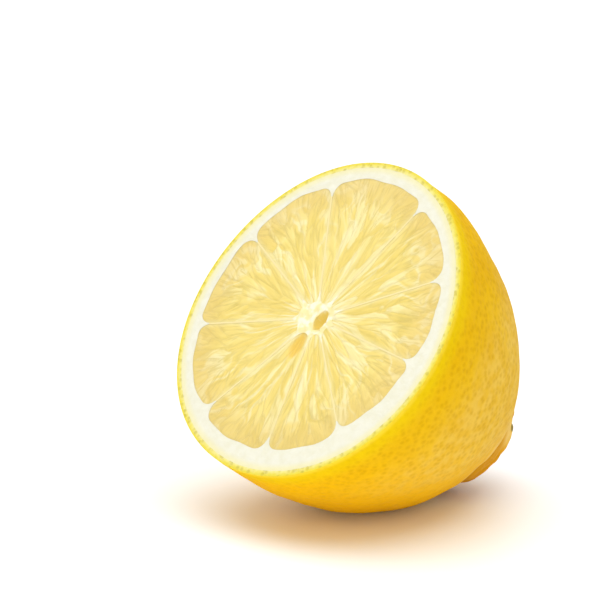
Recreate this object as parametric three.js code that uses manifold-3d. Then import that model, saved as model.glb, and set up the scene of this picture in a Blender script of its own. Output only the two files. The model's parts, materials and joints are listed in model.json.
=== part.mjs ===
// Half a lemon, cut across its middle and lying on its side.
//
// Units are millimetres, +Z is up, and the origin is at the bottom centre of the part's box.
// The fruit is made in a frame of its own: the cut face lies in the plane z = 0 and faces +z,
// and the fruit runs along its axis down to the stem end. A depth is a distance behind the
// cut face. An angle runs round the axis, from +x towards +y. At the end the whole fruit is
// tilted, so that it rests on its belly, with the cut face looking up and to the front.

import * as THREE from 'three';
import { mergeVertices } from 'three/addons/utils/BufferGeometryUtils.js';
import Module from 'manifold-3d';

const wasm = await Module();
wasm.setup();

// The fruit as a whole.
const RIM_RADIUS = 31.21; // mean radius at the cut
const RIM_WAVES = [
  { count: 2, cosine: -0.18, sine: -0.37 },
  { count: 3, cosine: 0, sine: -0.29 },
]; // how the rim departs from a circle
const BODY_DEPTH = 45.65; // where the round body would close, if it had no collar
const BODY_SHOULDER = 2.39; // how long the body stays full before it closes
const BODY_ROUNDNESS = 1.756; // how blunt it closes
const SWELL_HEIGHT = 0.14; // slow swellings over the skin
const SWELL_START = 8; // depth where they reach their full height

// The collar, a low thick neck round the stem.
const COLLAR_START = 37.1; // depth where its surface begins, inside the body
const COLLAR_END = 48.2; // depth of its blunt end
const COLLAR_ROOT_RADIUS = 17.3;
const COLLAR_END_RADIUS = 9.45;
const COLLAR_CLOSING = [8.5, 1.5]; // how late and how bluntly its side turns in
const COLLAR_BLEND = 0.8; // how softly it runs into the body
const CAP_START = 45.2; // depth where its side runs into the end face
const CAP_CURVE = [1.5, 3.2]; // how the end face rounds over
const FURROW_AT = 40.3; // depth of the furrow between body and collar
const FURROW_DEPTH = 1.05;
const FURROW_WIDTH = 1.45;
const PLEAT_HEIGHT = 0.4; // pleats that run from the furrow on to both sides
const PLEAT_REACH = 4;
const PLEATS = [
  { count: 7, height: 0.6, start: 1 },
  { count: 11, height: 0.4, start: 2.2 },
];

// The flank swells out in two places, and the collar has a small nick beside one of them. Each
// has its angle and width in radians.
const FLANK_SWELLINGS = [
  { height: 0.7, depth: 33.1, length: 11.7, angle: 0.167, width: 0.273 },
  { height: 0.5, depth: 8, length: 5, angle: 1.22, width: 0.35 },
];
const COLLAR_NICK = { height: 0.65, start: 41, end: 44, angle: 0.416, width: 0.15 };

// The stem end bends a little to one side.
const BEND_START = 34.1; // depth where the bend begins
const BEND_LENGTH = 13;
const BEND = [2.23, 0.47]; // how far the end stands off the axis

// The dimple in the collar's end, and the calyx button in it.
const DIMPLE_DEPTH = 1.8;
const DIMPLE_RADIUS = 4.6;
const CALYX_RADIUS = 3.3;
const CALYX_HEIGHT = 2.1;
const CALYX_LOBES = 5;

// The layers that the cut shows, from outside in.
const ZEST = 1.05; // thickness of the yellow skin
const GAP = 0.3; // clearance between neighbouring pieces
const MEMBRANE = 0.6; // thickness of the wall between two segments
const PULP_RADIUS = 27.1;
const PULP_DEPTH = 37;
const PULP_FULLNESS = 0.77; // smaller is fuller
const PULP_KEEL = 0.955; // depth of a segment's lowest point, as a share of the pulp's depth
const PULP_SHIFT = [-0.65, 0.8]; // the pith is thinner on this side
const MEMBRANE_ANGLES = [26.9, 64.8, 113.9, 152.4, 192.9, 234.6, 275.9, 311.3, 350.5];
const HEART_RADIUS = 3.9; // where the segments stop round the white heart
const CORNER_SHARPNESS = 1.2; // larger is sharper, per millimetre
const SEGMENT_MIDDLE = 0.58; // where its middle lies, as a share of the way to the rim

// Hollows in the cut face: one in the heart, and the bed of a seed.
const HEART_HOLLOW = { x: 1.1, y: -0.3, halfWidth: 1.7, halfLength: 2.1, depth: 4, turn: 90 };
const SEED_BED = { x: -1.6, y: -5.3, halfWidth: 1.3, halfLength: 2.3, depth: 2.2, turn: 253 };

// Juice sacs, which stand out of the cut pulp.
const SAC_RISE = 0.45;
const PULP_FLAT = 0.55; // depth of the flat pulp between the sacs
const SAC_ROWS = [
  { radius: 9.0, length: 8.2, width: 2.3, count: 2 },
  { radius: 15.2, length: 9.0, width: 3.2, count: 3 },
  { radius: 21.8, length: 9.6, width: 3.9, count: 4 },
];
const SAC_SEED = 7;

// How it lies.
const REST_TILT = THREE.MathUtils.degToRad(52.8); // the axis leans this far from upright
const FACE_HEIGHT = 36.85; // middle of the cut face above the surface it lies on

// How finely the round surfaces are divided.
const SKIN_SIDES = 60;
const SKIN_RINGS = 30;
const LAYER_RINGS = 8;
const SEGMENT_SIDES = 36;
const SEGMENT_RING_ANGLES = [0, 25, 45, 62];

const COLOURS = { zest: '#edbb1f', pith: '#fbf6dd', pulp: '#f7e28f', calyx: '#6f7040' };

const { cos, sin, exp, log, PI } = Math;
const radians = THREE.MathUtils.degToRad;

// ---- Solids ----

function solidFrom(geometry) {
  geometry.deleteAttribute('normal');
  geometry.deleteAttribute('uv');
  const merged = mergeVertices(geometry, 1e-5);
  const vertProperties = new Float32Array(merged.attributes.position.array);
  const triVerts = new Uint32Array(merged.index.array);
  return new wasm.Manifold(new wasm.Mesh({ numProp: 3, vertProperties, triVerts }));
}

function geometryFrom(solid) {
  const mesh = solid.getMesh();
  const geometry = new THREE.BufferGeometry();
  geometry.setAttribute('position', new THREE.BufferAttribute(mesh.vertProperties, 3));
  geometry.setIndex(new THREE.BufferAttribute(mesh.triVerts, 1));
  geometry.computeVertexNormals();
  return geometry;
}

// Skins a stack of rings that goes down, and closes it with a fan at each end.
function loft(rings, topPoint, bottomPoint) {
  const sides = rings[0].length;
  const points = [...rings.flat(), topPoint, bottomPoint];
  const top = points.length - 2;
  const bottom = points.length - 1;
  const last = (rings.length - 1) * sides;
  const index = [];
  for (let side = 0; side < sides; side += 1) {
    const next = (side + 1) % sides;
    index.push(top, side, next);
    for (let start = 0; start < last; start += sides) {
      index.push(start + side, start + sides + side, start + next);
      index.push(start + next, start + sides + side, start + sides + next);
    }
    index.push(bottom, last + next, last + side);
  }
  const geometry = new THREE.BufferGeometry().setFromPoints(points);
  geometry.setIndex(index);
  return solidFrom(geometry);
}

// A small seeded generator, so that every build gives the same fruit.
function randomSource(seed) {
  let state = seed;
  return () => {
    state = (state * 1664525 + 1013904223) % 4294967296;
    return state / 4294967296;
  };
}

// ---- Outer skin ----

function bodyRadius(depth, inset = 0) {
  const share = Math.min(depth / (BODY_DEPTH - inset), 1);
  return (RIM_RADIUS - inset) * (1 - share ** BODY_SHOULDER) ** (1 / BODY_ROUNDNESS);
}

// The cut isn't quite round. This is how far it departs from a circle.
function outOfRound(angle) {
  return RIM_WAVES.reduce(
    (sum, { count, cosine, sine }) => sum + cosine * cos(count * angle) + sine * sin(count * angle),
    0,
  );
}

// How far the axis stands aside at one depth, as a share of the whole bend.
function bendShare(depth) {
  return THREE.MathUtils.clamp((depth - BEND_START) / BEND_LENGTH, 0, 1);
}

function collarRadius(depth) {
  const share = THREE.MathUtils.clamp((depth - COLLAR_START) / (COLLAR_END - COLLAR_START), 0, 1);
  const straight = THREE.MathUtils.lerp(COLLAR_ROOT_RADIUS, COLLAR_END_RADIUS, share);
  return straight * (1 - share ** COLLAR_CLOSING[0]) ** (1 / COLLAR_CLOSING[1]);
}

// Body and collar run together with a soft fillet, and the furrow is pressed into it.
function skinRadius(depth) {
  const body = exp(bodyRadius(depth) / COLLAR_BLEND);
  const collar = exp(collarRadius(depth) / COLLAR_BLEND);
  const furrow = FURROW_DEPTH * exp(-(((depth - FURROW_AT) / FURROW_WIDTH) ** 2));
  return COLLAR_BLEND * log(body + collar) - furrow;
}

// The skin's outline, from the rim to the dimple, as points (radius, depth).
function skinProfile() {
  const points = [];
  for (let depth = 0; depth < CAP_START; depth += 0.5) {
    points.push(new THREE.Vector2(skinRadius(depth), depth));
  }
  const capRadius = skinRadius(CAP_START);
  const capSteps = 40;
  for (let step = 0; step <= capSteps; step += 1) {
    const radius = capRadius * cos((step / capSteps) * PI / 2);
    const share = (1 - (radius / capRadius) ** CAP_CURVE[0]) ** (1 / CAP_CURVE[1]);
    const dimple = DIMPLE_DEPTH * exp(-((radius / DIMPLE_RADIUS) ** 2));
    points.push(new THREE.Vector2(radius, CAP_START + (COLLAR_END - CAP_START) * share - dimple));
  }
  return new THREE.SplineCurve(points).getSpacedPoints(SKIN_RINGS);
}

// 1 at one angle, and less to both sides of it.
function nearAngle(angle, { angle: middle, width }) {
  return exp(-((2 * sin((angle - middle) / 2) / width) ** 2));
}

// The swellings of the flank less the nick in the collar.
function flankRelief(depth, angle) {
  const swellings = FLANK_SWELLINGS.reduce((sum, swelling) => {
    const along = exp(-(((depth - swelling.depth) / swelling.length) ** 2));
    return sum + swelling.height * along * nearAngle(angle, swelling);
  }, 0);
  const past = THREE.MathUtils.smoothstep(depth, COLLAR_NICK.start, COLLAR_NICK.end);
  return swellings - COLLAR_NICK.height * past * nearAngle(angle, COLLAR_NICK);
}

// Pleats round the furrow, and slow swellings over the rest of the skin.
function skinRelief(depth, angle) {
  const near = exp(-(((depth - FURROW_AT) / PLEAT_REACH) ** 2));
  const pleats = PLEATS.reduce((sum, pleat) => (
    sum + pleat.height * cos(pleat.count * angle + pleat.start)
  ), 0);
  const away = THREE.MathUtils.smoothstep(depth, 0, SWELL_START);
  const swell = sin(3 * angle + 0.19 * depth) * sin(0.27 * depth + 2 * angle);
  const overall = PLEAT_HEIGHT * near * pleats + SWELL_HEIGHT * away * swell;
  return overall + flankRelief(depth, angle);
}

function skinPoint(radius, depth, angle) {
  const size = radius / RIM_RADIUS;
  const relief = skinRelief(depth, angle) * Math.min(radius / COLLAR_END_RADIUS, 1);
  const reach = radius + size ** 2 * outOfRound(angle) + relief;
  const bend = bendShare(depth);
  return new THREE.Vector3(
    reach * cos(angle) + BEND[0] * bend,
    reach * sin(angle) + BEND[1] * bend,
    -depth,
  );
}

function ringAngles(sides) {
  return Array.from({ length: sides }, (_, side) => (side / sides) * 2 * PI);
}

function skinSolid() {
  const profile = skinProfile();
  const end = profile.pop();
  const angles = ringAngles(SKIN_SIDES);
  const rings = profile.map((point) => angles.map((angle) => skinPoint(point.x, point.y, angle)));
  return loft(rings, new THREE.Vector3(0, 0, 0), skinPoint(0, end.y, 0));
}

// The round inside of the skin, or the outside of the pith. It may stand above the cut by lift.
function layerSolid(inset, lift) {
  const depthEnd = BODY_DEPTH - inset;
  const angles = ringAngles(SKIN_SIDES);
  const rings = [];
  for (let ring = 0; ring < LAYER_RINGS; ring += 1) {
    const depth = depthEnd * sin((ring / LAYER_RINGS) * PI / 2) ** (2 / BODY_SHOULDER);
    const radius = bodyRadius(depth, inset);
    const out = (radius / RIM_RADIUS) ** 2;
    const bend = bendShare(depth);
    rings.push(angles.map((angle) => new THREE.Vector3(
      (radius + out * outOfRound(angle)) * cos(angle) + BEND[0] * bend,
      (radius + out * outOfRound(angle)) * sin(angle) + BEND[1] * bend,
      -depth,
    )));
  }
  if (lift > 0) {
    rings.unshift(rings[0].map((point) => new THREE.Vector3(point.x, point.y, lift)));
  }
  const bend = bendShare(depthEnd);
  const bottom = new THREE.Vector3(BEND[0] * bend, BEND[1] * bend, -depthEnd);
  return loft(rings, new THREE.Vector3(0, 0, lift), bottom);
}

// ---- Segments ----

function segmentAngles(number) {
  const start = MEMBRANE_ANGLES[number];
  const next = MEMBRANE_ANGLES[(number + 1) % MEMBRANE_ANGLES.length];
  return { start: radians(start), end: radians(next > start ? next : next + 360) };
}

// How far a point lies inside a segment's four walls, with the corners rounded off.
function insideSegment(x, y, { start, end }, pulpRadius) {
  const middle = (start + end) / 2;
  const walls = [
    y * cos(start) - x * sin(start) - MEMBRANE / 2 - GAP,
    x * sin(end) - y * cos(end) - MEMBRANE / 2 - GAP,
    pulpRadius - Math.hypot(x - PULP_SHIFT[0], y - PULP_SHIFT[1]),
    x * cos(middle) + y * sin(middle) - HEART_RADIUS,
  ];
  const sum = walls.reduce((total, wall) => total + exp(-CORNER_SHARPNESS * wall), 0);
  return -log(sum) / CORNER_SHARPNESS;
}

// A segment's outline at one depth, as evenly spaced points, grown outwards by grow.
function segmentOutline(angles, pulpRadius, grow) {
  const middle = (angles.start + angles.end) / 2;
  const heart = THREE.MathUtils.lerp(HEART_RADIUS, pulpRadius, SEGMENT_MIDDLE);
  const centre = new THREE.Vector2(heart * cos(middle), heart * sin(middle));
  const rays = 90;
  const points = [];
  for (let ray = 0; ray < rays; ray += 1) {
    const turn = middle + PI + (ray / rays) * 2 * PI;
    let inside = 0;
    let outside = pulpRadius;
    for (let step = 0; step < 30; step += 1) {
      const reach = (inside + outside) / 2;
      const x = centre.x + reach * cos(turn);
      const y = centre.y + reach * sin(turn);
      if (insideSegment(x, y, angles, pulpRadius) > -grow) {
        inside = reach;
      } else {
        outside = reach;
      }
    }
    points.push(new THREE.Vector3(centre.x + inside * cos(turn), centre.y + inside * sin(turn), 0));
  }
  const outline = new THREE.CatmullRomCurve3(points, true).getSpacedPoints(SEGMENT_SIDES);
  outline.pop();
  return { outline, centre };
}

// The body of one segment, or with grow the pocket that it lies in.
function segmentSolid(number, grow, lift) {
  const angles = segmentAngles(number);
  const rings = SEGMENT_RING_ANGLES.map((degrees) => {
    const turn = radians(degrees);
    const depth = PULP_DEPTH * sin(turn) ** PULP_FULLNESS + grow * sin(turn);
    const { outline } = segmentOutline(angles, PULP_RADIUS * cos(turn), grow);
    return outline.map((point) => new THREE.Vector3(point.x, point.y, -depth));
  });
  const { centre } = segmentOutline(angles, PULP_RADIUS * cos(radians(70)), 0);
  const bottom = new THREE.Vector3(centre.x, centre.y, -PULP_DEPTH * PULP_KEEL - grow);
  const topCentre = segmentOutline(angles, PULP_RADIUS, 0).centre;
  if (lift > 0) {
    rings.unshift(rings[0].map((point) => new THREE.Vector3(point.x, point.y, lift)));
  }
  return loft(rings, new THREE.Vector3(topCentre.x, topCentre.y, lift), bottom);
}

// One juice sac: a drop that points to the heart, sunk in the pulp up to its crown.
function sacSolid(radius, angle, length, width) {
  const sink = 0.35;
  const geometry = new THREE.SphereGeometry(1, 6, 5);
  const position = geometry.attributes.position;
  for (let i = 0; i < position.count; i += 1) {
    const along = position.getY(i);
    const swell = 1 + 0.35 * along;
    position.setXYZ(
      i,
      along * length / 2,
      -position.getX(i) * swell * width / 2,
      position.getZ(i) * swell * (SAC_RISE + sink) - sink - PULP_FLAT,
    );
  }
  geometry.rotateZ(angle);
  geometry.translate(radius * cos(angle), radius * sin(angle), 0);
  return solidFrom(geometry);
}

function pulpSegment(number) {
  const { start, end } = segmentAngles(number);
  const random = randomSource(SAC_SEED + number);
  const size = 150;
  const below = new THREE.BoxGeometry(size, size, size).translate(0, 0, -size / 2 - PULP_FLAT);
  let filling = solidFrom(below);
  SAC_ROWS.forEach(({ radius, length, width, count }, row) => {
    for (let place = 0; place < count; place += 1) {
      const share = (place + 0.5 + (random() - 0.5) * 0.25) / count;
      const angle = THREE.MathUtils.lerp(start, end, share);
      const away = radius + (random() - 0.5) * 2 + (place % 2) * (row - 0.5);
      filling = filling.add(sacSolid(away, angle, length, width * (0.85 + 0.3 * random())));
    }
  });
  return segmentSolid(number, 0, 0).intersect(filling);
}

// ---- Hollows ----

// An egg-shaped hollow that opens in the cut face.
function hollowSolid({ x, y, halfWidth, halfLength, depth, turn }) {
  const geometry = new THREE.SphereGeometry(1, 12, 8);
  geometry.scale(halfLength, halfWidth, depth);
  geometry.rotateZ(radians(turn));
  geometry.translate(x, y, 0);
  return solidFrom(geometry);
}

// ---- Sub-parts ----

// Everything below the surface that the fruit lies on, in the fruit's own frame.
function groundSolid() {
  const size = 200;
  const geometry = new THREE.BoxGeometry(size, size, size);
  geometry.translate(0, 0, -size / 2 - FACE_HEIGHT);
  geometry.rotateX(-REST_TILT);
  return solidFrom(geometry);
}

function rind() {
  return skinSolid().subtract(layerSolid(ZEST, 5)).subtract(groundSolid());
}

function pith() {
  let solid = layerSolid(ZEST + GAP, 0);
  MEMBRANE_ANGLES.forEach((_, number) => {
    solid = solid.subtract(segmentSolid(number, GAP, 5));
  });
  return solid.subtract(hollowSolid(HEART_HOLLOW)).subtract(hollowSolid(SEED_BED));
}

// The calyx: a small five-lobed button, dished where the stem came away.
function calyx() {
  const angles = ringAngles(CALYX_LOBES * 4);
  const floor = COLLAR_END - DIMPLE_DEPTH + GAP;
  const outline = [[0.4, 0], [0.95, 0.5], [1, 0.8], [0.75, 1], [0.42, 0.98]];
  const rings = outline.map(([share, height]) => angles.map((angle) => {
    const lobe = 1 + 0.16 * share ** 2 * cos(CALYX_LOBES * angle);
    const reach = CALYX_RADIUS * share * lobe;
    return new THREE.Vector3(
      reach * cos(angle) + BEND[0],
      reach * sin(angle) + BEND[1],
      -floor - CALYX_HEIGHT * height,
    );
  }));
  const top = new THREE.Vector3(BEND[0], BEND[1], -floor);
  const dish = new THREE.Vector3(BEND[0], BEND[1], -floor - CALYX_HEIGHT * 0.8);
  return loft(rings, top, dish);
}

// ---- Assembly ----

function piece(name, solid, colour, roughness) {
  const material = new THREE.MeshStandardMaterial({ color: colour, roughness, metalness: 0 });
  const mesh = new THREE.Mesh(geometryFrom(solid), material);
  mesh.name = name;
  return mesh;
}

const fruit = new THREE.Group();
fruit.add(piece('rind', rind(), COLOURS.zest, 0.42));
fruit.add(piece('pith', pith(), COLOURS.pith, 0.75));
fruit.add(piece('calyx', calyx(), COLOURS.calyx, 0.8));
MEMBRANE_ANGLES.forEach((_, number) => {
  const seedBed = hollowSolid(SEED_BED);
  const solid = pulpSegment(number).subtract(seedBed);
  fruit.add(piece(`pulp_${number + 1}`, solid, COLOURS.pulp, 0.25));
});
fruit.rotation.x = REST_TILT;
fruit.position.z = FACE_HEIGHT;

// The origin goes to the bottom centre of the whole half.
const lemon = new THREE.Group();
lemon.add(fruit);
lemon.updateMatrixWorld(true);
const middle = new THREE.Box3().setFromObject(lemon, true).getCenter(new THREE.Vector3());
fruit.position.x -= middle.x;
fruit.position.y -= middle.y;

export default lemon;
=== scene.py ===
# %% [markdown]
# # Half a lemon
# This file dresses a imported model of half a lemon. The model has a rind, a pith with thin
# membranes, nine segments of juice sacs and a calyx. Each of them is made again here as a fine
# mesh with its own finish. The frame is loaded first, because every piece has to lie where
# its solid lies.

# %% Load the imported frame
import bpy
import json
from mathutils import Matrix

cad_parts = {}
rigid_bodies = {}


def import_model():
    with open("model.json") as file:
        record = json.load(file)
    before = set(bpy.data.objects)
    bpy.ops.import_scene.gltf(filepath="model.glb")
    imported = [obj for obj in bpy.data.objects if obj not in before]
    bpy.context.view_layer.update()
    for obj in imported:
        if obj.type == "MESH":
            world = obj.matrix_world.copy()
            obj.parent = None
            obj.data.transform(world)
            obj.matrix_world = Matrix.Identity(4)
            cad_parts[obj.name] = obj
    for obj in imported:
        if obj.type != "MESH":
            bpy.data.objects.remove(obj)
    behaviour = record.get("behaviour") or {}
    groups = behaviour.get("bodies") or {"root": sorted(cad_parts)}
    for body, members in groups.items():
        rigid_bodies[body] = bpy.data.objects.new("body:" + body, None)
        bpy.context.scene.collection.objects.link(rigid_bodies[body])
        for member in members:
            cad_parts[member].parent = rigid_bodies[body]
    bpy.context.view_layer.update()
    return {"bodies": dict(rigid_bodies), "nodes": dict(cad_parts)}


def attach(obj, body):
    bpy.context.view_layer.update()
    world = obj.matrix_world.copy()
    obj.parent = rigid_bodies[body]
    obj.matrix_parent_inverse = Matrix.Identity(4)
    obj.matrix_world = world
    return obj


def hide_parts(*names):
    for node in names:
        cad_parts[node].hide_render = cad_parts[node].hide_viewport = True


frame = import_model()
print("nodes:", ", ".join(sorted(frame["nodes"])))

# %% [markdown]
# ## Units and one way to add a node
# Fruit is measured in millimetres and Blender works in metres, so one number turns the one
# into the other. Colours are written as the sRGB hex values that a colour picker shows, and
# one function turns them into the linear values that a shader needs. A single helper adds
# any node, sets it up and links it, which keeps the materials short enough to read.

# %% Units, colours and nodes
import json
import math

import bpy
import numpy as np
from mathutils import Matrix, Vector

MM = 0.001


def from_hex(code):
    """An sRGB hex colour as linear red, green, blue and alpha."""
    channels = [int(code[i:i + 2], 16) / 255 for i in (1, 3, 5)]
    linear = [c / 12.92 if c <= 0.04045 else ((c + 0.055) / 1.055) ** 2.4 for c in channels]
    return (*linear, 1.0)


def add_node(tree, kind, properties=None, values=None, links=None):
    """Adds a node, with its properties, its constant inputs and its incoming links."""
    node = tree.nodes.new(kind)
    for name, value in (properties or {}).items():
        setattr(node, name, value)
    for socket, value in (values or {}).items():
        node.inputs[socket].default_value = value
    for socket, source in (links or {}).items():
        tree.links.new(source, node.inputs[socket])
    return node


print("lemon yellow in linear light:", [round(c, 3) for c in from_hex("#f0bc12")])

# %% [markdown]
# ## The fruit's own frame
# It is easier to think of the fruit standing on its stem end, with the cut face flat on top.
# In this frame the cut is the plane z = 0, and a depth is a distance below it. The whole fruit
# is then leaned over on to its belly. The lean and the height of the cut's centre are the same
# values that the solids were made with. A point that would come out under the floor is lifted
# on to it, which gives the small flat spot that the fruit rests on.

# %% Fruit frame
LEAN = math.radians(52.8)
FACE_CENTRE = (0.0, -12.45, 36.85)


def to_part(points):
    """Points of the fruit's own frame, in millimetres, as part coordinates in metres."""
    x, y, z = np.asarray(points, float).T
    leaned = np.stack([
        x + FACE_CENTRE[0],
        y * math.cos(LEAN) - z * math.sin(LEAN) + FACE_CENTRE[1],
        y * math.sin(LEAN) + z * math.cos(LEAN) + FACE_CENTRE[2],
    ], axis=1)
    leaned[:, 2] = np.maximum(leaned[:, 2], 0)
    return leaned * MM


print("the cut looks along", np.round(to_part([[0, 0, 1]])[0] - to_part([[0, 0, 0]])[0], 5))

# %% [markdown]
# ## Camera
# A long lens from a little over half a metre shows a small fruit without stretching it, as in
# product pictures. The camera stands to the right of the fruit's front and a little above
# it. It aims at a point close to the middle of the cut. Its place is worked out from two angles
# and a distance, because those are easier to adjust than coordinates are.

# %% Camera
CAMERA_AZIMUTH = math.radians(45.62)
CAMERA_ELEVATION = math.radians(12.78)
CAMERA_ROLL = math.radians(-0.30)
CAMERA_DISTANCE = 650
CAMERA_LENS = 218.4
SENSOR_WIDTH = 36
NEAR_LIMIT = 0.01
AIM_OFFSET = (-3.02, 3.18)


def make_camera():
    towards = Vector((
        math.sin(CAMERA_AZIMUTH) * math.cos(CAMERA_ELEVATION),
        -math.cos(CAMERA_AZIMUTH) * math.cos(CAMERA_ELEVATION),
        math.sin(CAMERA_ELEVATION),
    ))
    level = Vector((0, 0, 1)).cross(towards).normalized()
    upright = towards.cross(level)
    right = level * math.cos(CAMERA_ROLL) + upright * math.sin(CAMERA_ROLL)
    up = towards.cross(right)
    aim = Vector(FACE_CENTRE) + right * AIM_OFFSET[0] + up * AIM_OFFSET[1]
    data = bpy.data.cameras.new("camera")
    data.lens = CAMERA_LENS
    data.sensor_width = SENSOR_WIDTH
    data.clip_start = NEAR_LIMIT
    camera = bpy.data.objects.new("camera", data)
    rotation = Matrix((right, up, towards)).transposed().to_4x4()
    camera.matrix_world = Matrix.Translation((aim + towards * CAMERA_DISTANCE) * MM) @ rotation
    bpy.context.collection.objects.link(camera)
    bpy.context.scene.camera = camera
    return camera


camera = make_camera()
print("camera at", [round(c, 3) for c in camera.matrix_world.translation])

# %% [markdown]
# ## Floor and light
# A white paper floor that reaches far behind the fruit makes the ground and the background
# one. Nearly all the light comes from a very large soft box overhead. It is bright enough that
# the open floor burns out to plain white, and only the shade close to the fruit is left to
# see. A dim sky softens that shade from every side, and a small low box in front sends some
# light under the fruit, to its belly. The bigger a light is, the softer its shadow.

# %% Floor and light
FLOOR_SIZE = 8.0
SKY_STRENGTH = 0.6
LIGHT_AIM = (0, 0, 0.03)
SOFT_BOXES = [
    {"name": "overhead", "place": (-0.1, 0.1, 2.0), "width": 3.0, "power": 45},
    {"name": "front", "place": (0.6, -0.9, 0.1), "width": 0.5, "power": 3.4},
]


def make_floor():
    half = FLOOR_SIZE / 2
    corners = [(-half, -half, 0), (half, -half, 0), (half, half, 0), (-half, half, 0)]
    mesh = bpy.data.meshes.new("floor")
    mesh.from_pydata(corners, [], [(0, 1, 2, 3)])
    floor = bpy.data.objects.new("floor", mesh)
    bpy.context.collection.objects.link(floor)
    material = bpy.data.materials.new("white paper")
    material.use_nodes = True
    paper = material.node_tree.nodes["Principled BSDF"]
    paper.inputs["Base Color"].default_value = from_hex("#ffffff")
    paper.inputs["Roughness"].default_value = 0.45
    paper.inputs["Specular IOR Level"].default_value = 0.5
    mesh.materials.append(material)


def make_sky():
    world = bpy.data.worlds.new("studio")
    world.use_nodes = True
    background = world.node_tree.nodes["Background"]
    background.inputs["Color"].default_value = from_hex("#ffffff")
    background.inputs["Strength"].default_value = SKY_STRENGTH
    bpy.context.scene.world = world


def make_soft_box(name, place, width, power):
    data = bpy.data.lights.new(name, "AREA")
    data.shape = "DISK"
    data.size = width
    data.energy = power
    box = bpy.data.objects.new(name, data)
    box.location = place
    direction = Vector(LIGHT_AIM) - Vector(place)
    box.rotation_euler = direction.to_track_quat("-Z", "Y").to_euler()
    bpy.context.collection.objects.link(box)


make_floor()
make_sky()
for soft_box in SOFT_BOXES:
    make_soft_box(**soft_box)
bpy.context.scene.view_settings.view_transform = "Standard"
print("lights:", [light.name for light in bpy.data.lights])

# %% [markdown]
# ## Making a mesh from formulas
# Every surface here is a grid of points bent into shape: rows run along it and columns run
# across it. NumPy works out all the points of a grid at once. The helpers below turn points
# and faces into an object, store any extra values that a material needs on the points, and
# shade it smoothly, apart from the sharp edges that a knife leaves.

# %% Mesh helpers
def grid_faces(rows, columns, closed):
    """Quads between the rows of a grid. A closed grid joins its last column to its first."""
    last = columns if closed else columns - 1
    row, column = np.meshgrid(np.arange(rows - 1), np.arange(last), indexing="ij")
    a = row * columns + column
    b = row * columns + (column + 1) % columns
    return np.stack([a, a + columns, b + columns, b], axis=-1).reshape(-1, 4).tolist()


def fan_faces(ring, centre):
    """Triangles from a closed ring of point numbers to one centre point."""
    return [[ring[i], ring[(i + 1) % len(ring)], centre] for i in range(len(ring))]


def shell_faces(rows, columns):
    """A closed grid, with a fan at each end to a pole. The poles' points follow the grid's."""
    count = rows * columns
    faces = grid_faces(rows, columns, closed=True)
    faces += fan_faces(list(range(columns))[::-1], count)
    return faces + fan_faces(list(range(count - columns, count)), count + 1)


def make_piece(name, points, faces, values=None, sharp_angle=40):
    mesh = bpy.data.meshes.new(name)
    mesh.from_pydata(to_part(points).tolist(), [], faces)
    for key, data in (values or {}).items():
        data = np.asarray(data, float)
        kind = "FLOAT" if data.ndim == 1 else "FLOAT_VECTOR"
        field = "value" if data.ndim == 1 else "vector"
        mesh.attributes.new(key, kind, "POINT").data.foreach_set(field, data.ravel())
    mesh.polygons.foreach_set("use_smooth", [True] * len(mesh.polygons))
    mesh.set_sharp_from_angle(angle=math.radians(sharp_angle))
    mesh.validate()
    piece = bpy.data.objects.new(name, mesh)
    bpy.context.collection.objects.link(piece)
    print(f"{name}: {len(mesh.vertices)} points, {len(mesh.polygons)} faces")
    return piece


print("a grid of 3 rows and 4 columns has", len(grid_faces(3, 4, closed=True)), "quads")

# %% [markdown]
# ## Soft steps and soft noise
# Nothing on a fruit starts or stops at a line. Three small functions do most of the shaping
# here. One rises smoothly between two values, one is a soft bump round a value, and one is
# noise: many plane waves in random directions, added up. Blender's own noise textures could
# displace a mesh as well, but waves from a seeded generator can be worked out with NumPy for
# any points, before a mesh is there.

# %% Steps and noise
WAVE_COUNT = 40
WAVE_SPREAD = (0.6, 1.4)


def smooth_step(value, low, high):
    """Rises smoothly from 0 at the low value to 1 at the high one."""
    share = np.clip((value - low) / (high - low), 0, 1)
    return share * share * (3 - 2 * share)


def soft_bump(value, middle, width):
    """1 at the middle value, and less to both sides of it."""
    return np.exp(-((value - middle) / width) ** 2)


def waves(points, wavelength, seed):
    """Smooth noise from about -1 to 1."""
    points = np.asarray(points, float)
    random = np.random.default_rng(seed)
    directions = random.normal(size=(WAVE_COUNT, points.shape[1]))
    directions /= np.linalg.norm(directions, axis=1, keepdims=True)
    pace = 2 * math.pi / wavelength * random.uniform(*WAVE_SPREAD, WAVE_COUNT)
    phase = random.uniform(0, 2 * math.pi, WAVE_COUNT)
    heights = np.sin(points @ (directions * pace[:, None]).T + phase)
    return heights.sum(1) / math.sqrt(2 * WAVE_COUNT)


print("a soft step half way up:", smooth_step(0.5, 0, 1))

# %% [markdown]
# ## The shape of the fruit
# Seen from the side, half a lemon is a round body that runs into a low thick collar at the
# stem end. Two simple curves give the two, and a soft maximum joins them, as a fillet would.
# A furrow is pressed in where they meet, and the stem end bends a little to one side. The cut
# isn't a perfect circle, so a few slow waves round the axis push the rim in and out by a few
# tenths of a millimetre. Formulas suit such a body better than pulling at points by hand,
# because every layer under the skin can follow the same ones.

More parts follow.
